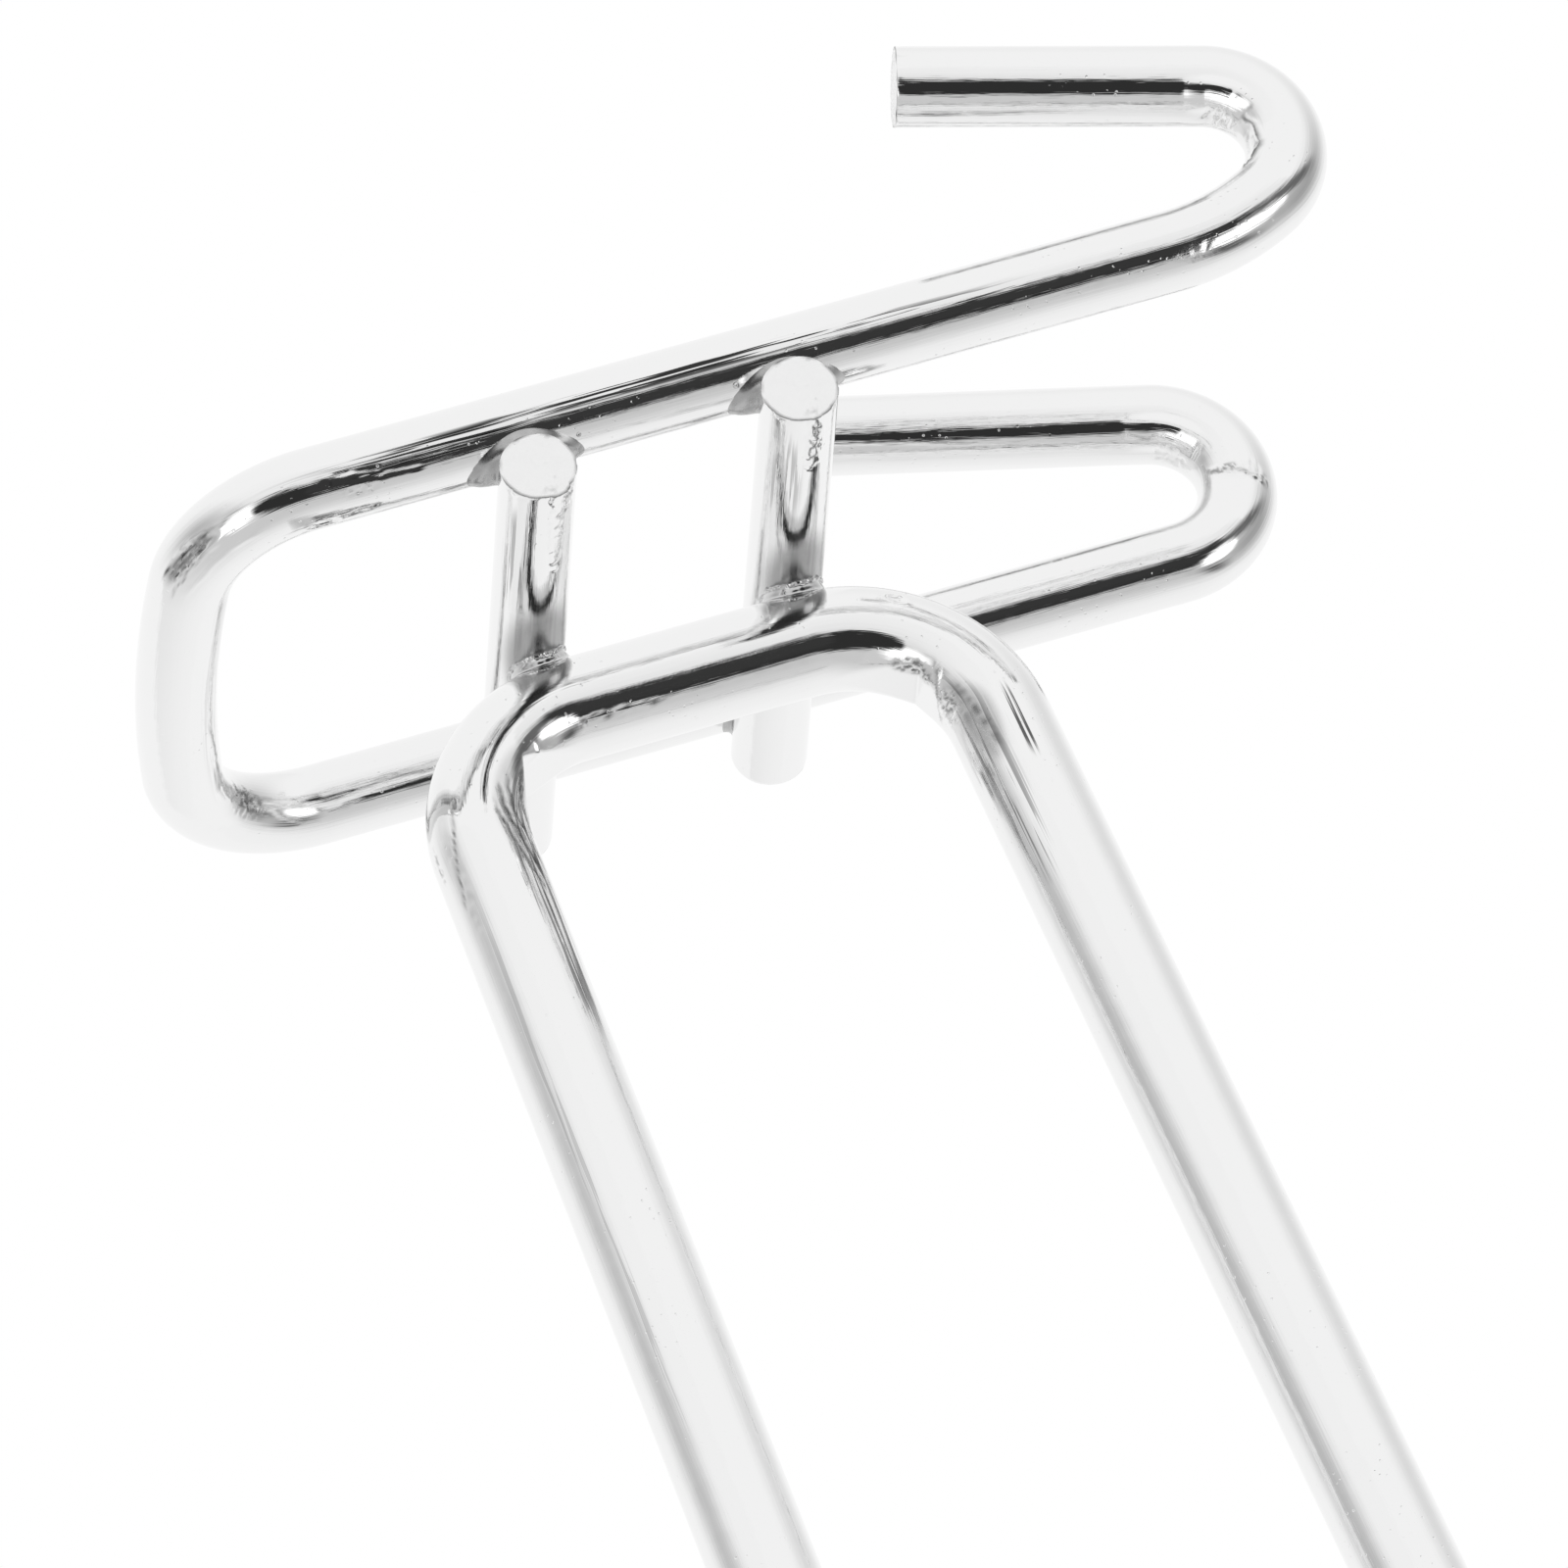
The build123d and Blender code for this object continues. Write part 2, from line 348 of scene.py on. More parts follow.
# ---------------------------------------------------------------- marks on a wire
# A place on a wire's skin is how far along the wire it is, in millimetres, and how far round it,
# in degrees. A half is half an oval's size, in the same way. A mark gives how far a point of the
# skin is lifted, in millimetres, or how strongly it is painted, from the point's place and from
# its spot on the straight wire.


def fade(value, low, high):
    """Smoothly from 0 at low to 1 at high."""
    share = min(1.0, max(0.0, (value - low) / (high - low)))
    return share * share * (3 - 2 * share)


def apart(turn, other):
    """How far one turn is past another, from -180 to 180 degrees."""
    return (turn - other + 180) % 360 - 180


def cover(along, turn, place, half):
    """1 in the middle of an oval place on a wire's skin, 0 at its edge and beyond."""
    reach = hypot((along - place[0]) / half[0], apart(turn, place[1]) / half[1])
    return fade(reach, 1.0, 0.55) if reach < 1 else 0.0


def oval(place, half, share):
    """An even oval of paint."""
    def amount(along, turn, spot):
        return share * cover(along, turn, place, half)
    return amount


def grains(place, half, size, share):
    """Separate grains of paint over an oval."""
    def amount(along, turn, spot):
        inside = cover(along, turn, place, half)
        return inside and share * inside * fade(noise.noise(spot / size), 0.0, 0.2)
    return amount


def facets(spot, size):
    """Flat facets that meet in creases, as on metal that has buckled. Size is across and along."""
    sized = Vector((spot.x / size[0], spot.y / size[0], spot.z / size[1]))
    nearest, cells = noise.voronoi(sized)
    tilt = noise.cell_vector(cells[0] * 9) - Vector((0.5, 0.5, 0.5))
    return (nearest[1] - nearest[0]) * 0.6 - 0.25 + tilt.dot(sized - cells[0])


def swelling(place, half, height):
    """A smooth rise, highest in its middle."""
    def lift(along, turn, spot):
        reach = hypot((along - place[0]) / half[0], apart(turn, place[1]) / half[1])
        return height * fade(reach, 1.0, 0.0)
    return lift


def flat(place, half, sagitta, tilt):
    """A chord across the inside of a bend, where the former has flattened it. Sagitta is how far
    the chord stands off the arc. Tilt is how far its further end stands up, or its nearer end if
    it is below 0."""
    def lift(along, turn, spot):
        share = (along - place[0]) / half[0] * (1 if tilt > 0 else -1)
        window = fade(abs(apart(turn, place[1])) / half[1], 1.0, 0.5)
        slope = abs(tilt) * fade(share, 2.6, 1.0) * min(1.0, max(0.0, (share + 1) / 2))
        return (sagitta * max(0.0, 1 - share * share) + slope) * window
    return lift


def buckle(place, half, size, depth):
    """An oval that has buckled into facets."""
    def lift(along, turn, spot):
        share = cover(along, turn, place, half)
        return share * depth * facets(spot, size) if share else 0.0
    return lift


def dent(place, half, depth, lip, slant=0.0):
    """An oval dent with a raised lip. Slant is in degrees round the wire for each millimetre."""
    def lift(along, turn, spot):
        lean = slant * (along - place[0])
        reach = hypot((along - place[0]) / half[0], apart(turn, place[1] + lean) / half[1])
        if reach > 1.8:
            return 0.0
        reach += 0.12 * noise.noise(spot * 2.5)
        return lip * exp(-((reach - 1.1) / 0.22) ** 2) - depth * fade(reach, 1.05, 0.55)
    return lift


def crease(start, end, width, height, radius):
    """A beaded ridge, or a groove if its height is below 0, in a straight line over the skin of a
    wire of some radius."""
    run = end[0] - start[0], radians(apart(end[1], start[1])) * radius
    length = hypot(*run)

    def lift(along, turn, spot):
        at = along - start[0], radians(apart(turn, start[1])) * radius
        share = (at[0] * run[0] + at[1] * run[1]) / length ** 2
        if not -0.1 < share < 1.1:
            return 0.0

        off = (at[0] * run[1] - at[1] * run[0]) / length + 0.12 * noise.noise(spot * 1.5)
        if abs(off) > 3 * width:
            return 0.0
        ends = fade(share, -0.1, 0.15) * fade(share, 1.1, 0.85)
        beads = 0.75 + 0.5 * noise.noise(spot * 3.0)
        return height * ends * exp(-((off / width) ** 2)) * beads
    return lift


def flake(place, half, step, ragged):
    """A thin scale of metal with a ragged edge, standing a little proud or torn away."""
    def lift(along, turn, spot):
        reach = hypot((along - place[0]) / half[0], apart(turn, place[1]) / half[1])
        if reach > 1.6:
            return 0.0
        reach += ragged * (noise.noise(spot * 2.2) + 0.5 * noise.noise(spot * 5.0))
        return step * fade(reach, 1.05, 0.9)
    return lift


# ---------------------------------------------------------------- wires

# Sides of a wire's section, and how near each other the rims of two lengths are when they join
SIDES = 128
RIM_MERGE = 0.002

# How far apart the rings of a skin are, in millimetres, from a marked bend to a bare prong
FINEST, FINE, MEDIUM, FAIR, PLAIN, COARSE, COARSEST = 0.09, 0.12, 0.15, 0.2, 0.3, 0.6, 1.0

# A bend that the former has pressed square: how much, where its corner is, and how soft the
# pressed patch's edge is, in millimetres
LOWER_PRESS, LOWER_CORNER = 0.62, 0.51
UPPER_PRESS, UPPER_CORNER = 0.42, 0.57
PRESS_SOFTNESS = 0.09

# A sheared face: how rough it is and how far its lip stands out, in millimetres
SHEAR_GRAIN, SHEAR_LIP = 0.022, 0.03

ACROSS, FRONT, UP = Vector((1, 0, 0)), Vector((0, -1, 0)), Vector((0, 0, 1))
LEFT = -1


class BentWire:
    """A round wire laid down as a wire bender makes it, in millimetres. The layer straight_wire
    keeps where each point was on the straight wire, so that marks and patterns follow the bends,
    and outward points from the wire's axis to its skin."""

    def __init__(self, diameter, start, heading, side):
        self.bm = bmesh.new()
        self.scrap = bpy.data.meshes.new("scrap")
        self.radius = diameter / 2 - SKIN_SHYNESS
        self.at, self.laid = start.copy(), 0.0
        self.section = Matrix((side, heading.cross(side), heading)).transposed()
        self.first_end = (self.at, self.section, self.laid)

    def lay(self, steps, length, place_on_axis, pressed=None, **spin):
        """Spins the wire's section along one run or bend, and adds it to the wire."""
        part = bmesh.new()
        for layer in ("straight_wire", "outward"):
            part.verts.layers.float_vector.new(layer)
        for layer in ("torn", "scored", "painted_shade_and_dulling"):
            part.verts.layers.float.new(layer)
        straight = part.verts.layers.float_vector["straight_wire"]
        outward = part.verts.layers.float_vector["outward"]
        ring = bmesh.ops.create_circle(part, radius=self.radius, segments=SIDES)["verts"]
        for vert in ring:
            vert[straight] = vert.co
        placed = Matrix.Translation(self.at) @ self.section.to_4x4()
        bmesh.ops.transform(part, matrix=placed, verts=ring)
        section = part.verts[:] + part.edges[:]
        bmesh.ops.spin(part, geom=section, steps=steps, use_merge=False, **spin)
        for vert in part.verts:
            along, axis_point = place_on_axis(vert.co)
            vert[straight].z = self.laid + along
            vert[outward] = (vert.co - axis_point) / self.radius
            if pressed:
                vert.co = pressed(vert.co)
        part.to_mesh(self.scrap)
        part.free()
        self.bm.from_mesh(self.scrap)
        self.laid += length

    def run(self, length, step=FINE):
        """Goes straight on."""
        start, heading = self.at, self.section.col[2].copy()
        steps = max(1, ceil(length / step))

        def place_on_axis(co):
            along = (co - start).dot(heading)
            return along, start + heading * along

        self.lay(
            steps, length, place_on_axis,
            cent=start, axis=heading, dvec=heading * (length / steps), angle=0.0,
        )
        self.at = start + heading * length

    def bend(self, radius, turn, about, step=FINE, pressed=0.0, corner=0.5):
        """Turns the heading right-handed about a direction, by a number of degrees. Pressed is how
        far the former has squared the inside of the bend: 0 is round, and 1 is a sharp corner.
        The corner comes at a share of the turn."""
        heading, angle = self.section.col[2].copy(), radians(turn)
        centre = self.at + about.cross(heading) * radius
        arm = self.at - centre
        inside = radius - self.radius

        def bearing(co):
            return max(0.0, atan2((co - centre).dot(heading) * radius, (co - centre).dot(arm)))

        def place_on_axis(co):
            swung = bearing(co)
            return radius * swung, centre + Matrix.Rotation(swung, 3, about) @ arm

        def press(co):
            swung = min(bearing(co), angle)
            from_end = min(swung / corner, (angle - swung) / (1 - corner)) / 2
            former = inside * (1 + pressed * (1 / cos(from_end) - 1))
            ray = co - centre
            ray -= about * ray.dot(about)
            softness = PRESS_SOFTNESS * fade(from_end, 0.0, 0.4)
            depth = former - ray.length
            if softness < 1e-6 or depth < -softness:
                return co
            moved = depth if depth > softness else (depth + softness) ** 2 / (4 * softness)
            return co + ray.normalized() * moved

        self.lay(
            ceil(angle * radius / step), angle * radius, place_on_axis, press if pressed else None,
            cent=centre, axis=about, dvec=(0, 0, 0), angle=angle,
        )
        turned = Matrix.Rotation(angle, 3, about)
        self.at = centre + turned @ arm
        self.section = turned @ self.section

    def close(self, rounding, steps=2, rings=14):
        """Joins the lengths, and closes both ends over a rounded rim of some steps, and a flat face
        of some rings. Keeps the ends' vertices, with the way out of the wire."""
        bm = self.bm
        rims = [v for v in bm.verts if v.is_boundary]
        bmesh.ops.remove_doubles(bm, verts=rims, dist=RIM_MERGE)
        rims = [e for e in bm.edges if e.is_boundary]
        caps = bmesh.ops.holes_fill(bm, edges=rims, sides=0)["faces"]
        bmesh.ops.recalc_face_normals(bm, faces=bm.faces)
        wall = set(bm.verts)
        quarter = [radians(90 * k / steps) for k in range(steps + 1)]
        for cap in caps:
            out = cap.normal.copy()
            for low, high in pairwise(quarter):
                bmesh.ops.inset_individual(
                    bm, faces=[cap], thickness=rounding * (cos(low) - cos(high)), depth=0
                )
                rise = rounding * (sin(high) - sin(low))
                bmesh.ops.translate(bm, vec=out * rise, verts=cap.verts)
            for _ in range(rings):
                bmesh.ops.inset_individual(
                    bm, faces=[cap], thickness=(self.radius - rounding) / (rings + 1), depth=0
                )
            bmesh.ops.poke(bm, faces=[cap])
        straight = bm.verts.layers.float_vector["straight_wire"]
        outward = bm.verts.layers.float_vector["outward"]
        self.cut = []
        for vert in bm.verts:
            if vert not in wall:
                ends = self.first_end, (self.at, self.section, self.laid)
                end, section, along = min(ends, key=lambda found: (vert.co - found[0]).length)
                local = section.transposed() @ (vert.co - end)
                vert[straight] = (local.x, local.y, along + local.z)
                vert[outward] = (section @ Vector((local.x, local.y, 0))) / self.radius
                self.cut.append((vert, section.col[2].copy() * (1 if along else -1)))

    def shear(self):
        """Tears the cut faces a little, with a lip on the side where the blade came out, and makes
        their rims and most raised spots rougher and grey to black in colour."""
        straight = self.bm.verts.layers.float_vector["straight_wire"]
        torn = self.bm.verts.layers.float["torn"]
        scored = self.bm.verts.layers.float["scored"]
        painted_shade_and_dulling = self.bm.verts.layers.float["painted_shade_and_dulling"]
        for vert, out in self.cut:
            spot = vert[straight]
            rough = noise.noise(spot * 1.1) + 0.5 * noise.noise(spot * 3.1)
            rough += 0.3 * noise.noise(spot * 7.0)
            lip = SHEAR_LIP * fade(spot.x, 0.2, 1.0) * self.radius
            vert.co += out * (SHEAR_GRAIN * rough + lip)
            vert[torn], vert[scored] = 1.0, 0.0
            rim = fade(hypot(spot.x, spot.y) / self.radius, 0.9, 1.0)
            vert[painted_shade_and_dulling] = rim * (0.8 + 1.8 * noise.noise(spot * 1.5)) + 0.5 * fade(rough, 0.5, 0.9)

    def mark(self, *marks):
        """Lifts the skin by all the marks together."""
        straight = self.bm.verts.layers.float_vector["straight_wire"]
        outward = self.bm.verts.layers.float_vector["outward"]
        for vert in self.bm.verts:
            spot = vert[straight]
            turn = degrees(atan2(spot.y, spot.x))
            vert.co += vert[outward] * sum(lift(spot.z, turn, spot) for lift in marks)

    def wear(self, layer, *patches):
        """Paints how torn or scored the skin is, or its painted shade and dulling: an oval's place,
        half sizes and amount, or a mark's own height."""
        straight = self.bm.verts.layers.float_vector["straight_wire"]
        amount = self.bm.verts.layers.float[layer]
        marks = [oval(*patch) if isinstance(patch, tuple) else patch for patch in patches]
        for vert in self.bm.verts:
            spot = vert[straight]
            turn = degrees(atan2(spot.y, spot.x))
            vert[amount] = max(vert[amount], *[lift(spot.z, turn, spot) for lift in marks])

    def skin(self, along, turn):
        """The point of the wire's skin at a place."""
        straight = self.bm.verts.layers.float_vector["straight_wire"]
        aim = Vector((cos(radians(turn)) * self.radius, sin(radians(turn)) * self.radius, along))
        return min(self.bm.verts, key=lambda vert: (vert[straight] - aim).length_squared).co.copy()


def crown_setback(gentle_radius, tight_radius):
    """Distance from an arm's axis back to the centre of its hairpin's tight bend."""
    return gentle_radius - (gentle_radius - tight_radius) * cos(radians(GENTLE_TURN))


def box(node):
    """A node's lowest and highest corners, in millimetres."""
    return (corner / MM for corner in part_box(node))


lower_bar_low, lower_bar_high = box("lower_crossbar")
upper_bar_low, upper_bar_high = box("upper_crossbar")
loop_low, loop_high = box("prong_loop")
frame_low = next(box("back_frame"))

frame_radius, crossbar_radius, prong_radius = FRAME_WIRE / 2, CROSSBAR_WIRE / 2, PRONG_WIRE / 2
crossbars_y = (lower_bar_low.y + lower_bar_high.y) / 2
arms_y = crossbars_y + frame_radius + crossbar_radius - WELD_DEPTH
bridge_y = crossbars_y - crossbar_radius - prong_radius + WELD_DEPTH
foot_z = frame_low.z + frame_radius
loop_x = (loop_low.x + loop_high.x) / 2
end_room = SHEARED_EDGE + TORN_LIP_ROOM


def make_back_frame():
    left_setback = crown_setback(LEFT_GENTLE_RADIUS, LEFT_TIGHT_RADIUS)
    half_bow = asin(
        (ARM_SPACING - LEFT_FOOT_RADIUS - RIGHT_FOOT_RADIUS)
        / (2 * FOOT_BOW_RADIUS - LEFT_FOOT_RADIUS - RIGHT_FOOT_RADIUS)
    )
    corner_turn = 90 - degrees(half_bow)

    def arm_length(height, gentle_radius, tight_radius, foot_radius):
        bow_rise = FOOT_BOW_RADIUS * (1 - cos(half_bow)) + foot_radius * cos(half_bow)
        gentle_drop = (gentle_radius - tight_radius) * sin(radians(GENTLE_TURN))
        return height - tight_radius - gentle_drop - bow_rise

    opening = radians(LEFT_OPENING)
    crown_z = foot_z + LEFT_ARM_HEIGHT - LEFT_TIGHT_RADIUS
    crown = Vector((LEFT * ARM_SPACING / 2, arms_y + left_setback, crown_z))
    up_the_tip = Vector((0, -sin(opening), cos(opening)))
    tip_top = crown + Vector((0, cos(opening), sin(opening))) * LEFT_TIGHT_RADIUS
    left_arm = arm_length(LEFT_ARM_HEIGHT, LEFT_GENTLE_RADIUS, LEFT_TIGHT_RADIUS, LEFT_FOOT_RADIUS)
    right_arm = arm_length(
        RIGHT_ARM_HEIGHT, RIGHT_GENTLE_RADIUS, RIGHT_TIGHT_RADIUS, RIGHT_FOOT_RADIUS
    )

    # Lengths of finer skin: at the first cut end, by a hairpin and above the left foot
    cut, by_bend, by_foot = 1.5, 2, 5
    start = tip_top - up_the_tip * (LEFT_TIP_LENGTH - end_room)
    wire = BentWire(FRAME_WIRE, start, up_the_tip, ACROSS)
    wire.run(cut)
    wire.run(LEFT_TIP_LENGTH - end_room - cut - by_bend, COARSE)
    wire.run(by_bend)
    wire.bend(LEFT_TIGHT_RADIUS, 180 - LEFT_OPENING - GENTLE_TURN, ACROSS, FINEST)
    wire.bend(LEFT_GENTLE_RADIUS, GENTLE_TURN, ACROSS)
    wire.run(left_arm - by_foot, COARSE)
    wire.run(by_foot)
    wire.bend(LEFT_FOOT_RADIUS, corner_turn, FRONT, FINEST)
    wire.bend(FOOT_BOW_RADIUS, 2 * degrees(half_bow), FRONT, PLAIN)
    wire.bend(RIGHT_FOOT_RADIUS, corner_turn, FRONT)
    wire.run(right_arm, COARSE)
    wire.bend(RIGHT_GENTLE_RADIUS, GENTLE_TURN, -ACROSS, PLAIN)
    wire.bend(RIGHT_TIGHT_RADIUS, 180 - RIGHT_OPENING - GENTLE_TURN, -ACROSS)
    wire.run(by_bend)
    wire.run(RIGHT_TIP_LENGTH - end_room - 2 * by_bend, COARSE)
    wire.run(by_bend)
    wire.close(SHEARED_EDGE)
    wire.mark(
        # The left hairpin's inside is flattened and has buckled, with a kinked lip at its crown
        flat((13.5, -133), (1.35, 30), 0.10, 0.18),
        swelling((15.0, -90), (4.5, 45), 0.10),
        buckle((14.3, -103), (2.3, 22), (0.7, 0.7), 0.16),
        crease((16.4, -126), (18.9, -138), 0.13, 0.13, frame_radius),
        crease((18.9, -139), (21.2, -126), 0.13, 0.12, frame_radius),
        crease((17.0, -112), (20.6, -116), 0.30, -0.08, frame_radius),
        crease((21.5, -138), (25.0, -140), 0.10, 0.012, frame_radius),
        buckle((25.5, 138), (1.2, 18), (0.2, 0.3), 0.03),
        # Nicks that the bender's jaws left just above the left foot
        crease((60.5, 136), (63.6, 146), 0.09, -0.05, frame_radius),
        crease((62.2, 152), (64.2, 160), 0.09, -0.04, frame_radius),
        buckle((63.2, 128), (0.9, 9), (0.2, 0.22), 0.10),
        buckle((64.7, 148), (0.4, 6), (0.2, 0.2), 0.10),
        dent((65.0, 86), (0.8, 9), 0.08, 0.02),
        crease((64.8, 90), (62.6, 97), 0.10, -0.05, frame_radius),
        # Left foot corner
        dent((70.2, 155), (1.45, 13), 0.10, 0.03, slant=1.4),
        buckle((70.2, 155), (1.6, 16), (0.25, 0.45), 0.22),
        crease((68.6, 139), (71.6, 143), 0.08, 0.05, frame_radius),
        crease((67.5, 118), (71.6, 122), 0.09, 0.035, frame_radius),
        crease((70.0, 70), (90.0, 35), 0.10, 0.012, frame_radius),
        # Right foot corner
        buckle((91.3, 32), (2.0, 24), (0.7, 0.35), 0.14),
        buckle((90.6, 22), (1.5, 16), (0.3, 0.3), 0.08),
        crease((82.0, 54), (89.0, 30), 0.14, 0.05, frame_radius),
        # The right hairpin's ridge, and the flat and the buckling inside it
        crease((141.9, -46), (141.1, 46), 0.13, 0.09, frame_radius),
        buckle((141.5, 0), (0.6, 48), (0.3, 0.3), 0.12),
        flat((146.9, -46), (1.6, 30), 0.10, -0.20),
        swelling((146.0, -90), (4.5, 45), 0.08),
        buckle((145.6, -76), (2.0, 22), (0.6, 0.6), 0.12),
        crease((157.3, -40), (158.4, -90), 0.08, -0.02, frame_radius),
        # The cut rims
        dent((0.2, 172), (0.5, 12), 0.10, 0.0),
        buckle((0.0, 140), (0.35, 140), (0.5, 0.5), 0.05),
    )
    wire.shear()
    wire.wear(
        "torn",
        ((14.6, -105), (3.4, 42), 0.3), ((25.5, 138), (1.3, 20), 0.7),
        ((70.2, 155), (1.8, 16), 0.35), ((91.0, 28), (2.4, 28), 0.2),
        ((141.5, 0), (0.6, 46), 0.5), ((145.4, -80), (2.2, 34), 0.3),
        ((50.0, 142), (14.0, 9), 0.25),
    )
    # Scored grooves, which the plate paints black inside as painted shade
    wire.wear(
        "scored",
        ((50.0, 168), (18.0, 12), 1.0), ((59.5, 157), (5.0, 13), 1.0),
        ((36.5, 161), (3.0, 12), 0.9), ((78.0, 52), (12.0, 22), 0.15),
        ((63.5, 92), (3.5, 8), 0.8),
    )
    # Painted shade: dark lines on the left hairpin's lip and the right hairpin's ridge, and dark
    # crinkles and grey patches at both foot corners
    wire.wear(
        "painted_shade_and_dulling",
        crease((16.3, -125), (18.9, -138), 0.10, 1.5, frame_radius),
        crease((18.9, -139), (21.2, -126), 0.14, 1.8, frame_radius),
        crease((141.9, -46), (141.3, 22), 0.08, 0.9, frame_radius),
        grains((141.7, -22), (0.3, 26), 0.2, 1.1), grains((141.2, 40), (0.25, 12), 0.2, 1.3),
        crease((68.7, 160), (71.6, 165), 0.07, 1.9, frame_radius),
        crease((68.9, 151), (71.2, 158), 0.07, 1.8, frame_radius),
        crease((69.2, 157), (71.0, 149), 0.08, 1.6, frame_radius),
        crease((69.5, 138), (72.0, 142), 0.05, 1.2, frame_radius),
        grains((70.2, 155), (1.7, 15), 0.3, 1.1),
        crease((89.8, 10), (92.6, 44), 0.07, 1.7, frame_radius),
        crease((91.0, 4), (92.4, 36), 0.06, 1.4, frame_radius),
        crease((90.6, 34), (93.3, 40), 0.08, 1.6, frame_radius),
        crease((82.0, 54), (89.6, 22), 0.10, 1.3, frame_radius),
        grains((91.4, 28), (1.6, 20), 0.35, 1.4),
        ((70.2, 155), (1.7, 15), 0.6), ((91.3, 30), (2.0, 22), 0.4),
    )
    return wire


def make_crossbar(low, high, *marks):
    # Lengths of finer skin: over the left end's marks, and at the right end
    marked, cut = 6, 1.5
    start = Vector((low.x + end_room, (low.y + high.y) / 2, (low.z + high.z) / 2))
    wire = BentWire(CROSSBAR_WIRE, start, ACROSS, UP)
    wire.run(marked)
    wire.run(high.x - low.x - marked - cut - 2 * end_room, COARSE)
    wire.run(cut)
    wire.close(SHEARED_EDGE)
    wire.mark(*marks, buckle((0.0, 90), (0.4, 200), (0.5, 0.5), 0.05))
    wire.shear()
    return wire


# Start, end and width of the scratches that the former left under the lower bend
FORMER_SCRATCHES = (
    ((85.8, -152), (80.6, -118), 0.09), ((85.2, -160), (79.8, -127), 0.14),
    ((84.2, -166), (79.4, -136), 0.08), ((86.6, -140), (82.4, -112), 0.08),
)


def make_prong_loop():
    droop, rise = radians(LOWER_PRONG_DROOP), radians(UPPER_PRONG_RISE)
    lower_turn, upper_turn = 90 - LOWER_PRONG_DROOP, 90 - UPPER_PRONG_RISE
    lower_tangent = LOWER_BEND_RADIUS * tan(radians(lower_turn) / 2)
    upper_tangent = UPPER_BEND_RADIUS * tan(radians(upper_turn) / 2)
    lower_corner = Vector((loop_x, bridge_y, foot_z + LOWER_PRONG_HEIGHT))
    backwards = Vector((0, cos(droop), sin(droop)))
    lower_length = (bridge_y + PRONG_REACH) / cos(droop)
    upper_length = (bridge_y + PRONG_REACH) / cos(rise)
    # Lengths of finer skin, from the bends out along the prongs
    in_view, before_bend, after_bend = 45, 9, 12
    start = lower_corner - backwards * (lower_length - PRONG_END_ROUNDING)
    wire = BentWire(PRONG_WIRE, start, backwards, ACROSS)
    wire.run(lower_length - PRONG_END_ROUNDING - lower_tangent - in_view, COARSEST)
    wire.run(in_view - before_bend, COARSE)
    wire.run(before_bend, MEDIUM)
    wire.bend(LOWER_BEND_RADIUS, lower_turn, ACROSS, pressed=LOWER_PRESS, corner=LOWER_CORNER)
    wire.run(UPPER_PRONG_HEIGHT - LOWER_PRONG_HEIGHT - lower_tangent - upper_tangent, PLAIN)
    wire.bend(UPPER_BEND_RADIUS, upper_turn, ACROSS, pressed=UPPER_PRESS, corner=UPPER_CORNER)
    wire.run(after_bend, FAIR)
    wire.run(in_view - after_bend, COARSE)
    wire.run(upper_length - PRONG_END_ROUNDING - upper_tangent - in_view, COARSEST)
    wire.close(PRONG_END_ROUNDING, steps=8, rings=6)
    wire.mark(
        # Scratches that the former left under the lower bend
        *[crease(*scratch, -0.07, prong_radius) for scratch in FORMER_SCRATCHES],
        crease((87.6, -112), (88.5, -142), 0.10, 0.06, prong_radius),
        crease((84.2, 150), (82.0, 138), 0.07, -0.04, prong_radius),
        crease((82.1, 137), (79.6, 124), 0.07, -0.03, prong_radius),
        buckle((81.0, 130), (3.4, 12), (0.5, 0.7), 0.03),
        # Torn plate and wrinkles on both sides of the upper bend's crease
        buckle((107.9, -124), (1.5, 18), (0.2, 0.24), 0.14),
        buckle((93.2, -134), (2.6, 8), (0.18, 0.18), 0.07),
        buckle((110.9, -112), (1.3, 32), (0.3, 0.6), 0.12),
        crease((109.1, -148), (110.9, -84), 0.10, 0.07, prong_radius),
        dent((106.0, 156), (0.5, 6), 0.10, 0.03),
        dent((97.0, 110), (0.35, 5), 0.05, 0.02),
        buckle((88.0, 100), (2.4, 14), (0.3, 0.3), 0.06),
    )
    wire.wear(
        "torn",
        ((107.6, -122), (1.6, 17), 0.5), ((88.0, 100), (2.6, 15), 0.8),
        ((96.0, -150), (8.0, 12), 0.3),
    )
    # Painted shade and painted reflection: dark lines in the former's scratches, the crack and the
    # upper bend's crease, and grey grains and patches round both bends, over torn plate at the
    # upper bend
    wire.wear(
        "painted_shade_and_dulling",
        *[crease(*scratch, 2.0, prong_radius) for scratch in FORMER_SCRATCHES],
        crease((84.2, 150), (82.0, 138), 0.05, 1.7, prong_radius),
        crease((82.1, 137), (79.6, 124), 0.05, 1.5, prong_radius),
        grains((82.4, 106), (1.2, 5), 0.2, 0.9),
        crease((109.1, -148), (110.9, -84), 0.08, 1.2, prong_radius),
        crease((110.4, -140), (114.8, -153), 0.32, 1.4, prong_radius),
        grains((107.9, -124), (1.6, 19), 0.22, 1.5), grains((110.9, -120), (0.8, 16), 0.2, 1.2),
        grains((93.2, -134), (2.6, 8), 0.2, 1.6),
        ((113.0, -146), (2.6, 26), 0.6), ((107.9, -124), (1.7, 20), 0.4),
        ((84.5, -150), (4.5, 20), 0.4),
    )
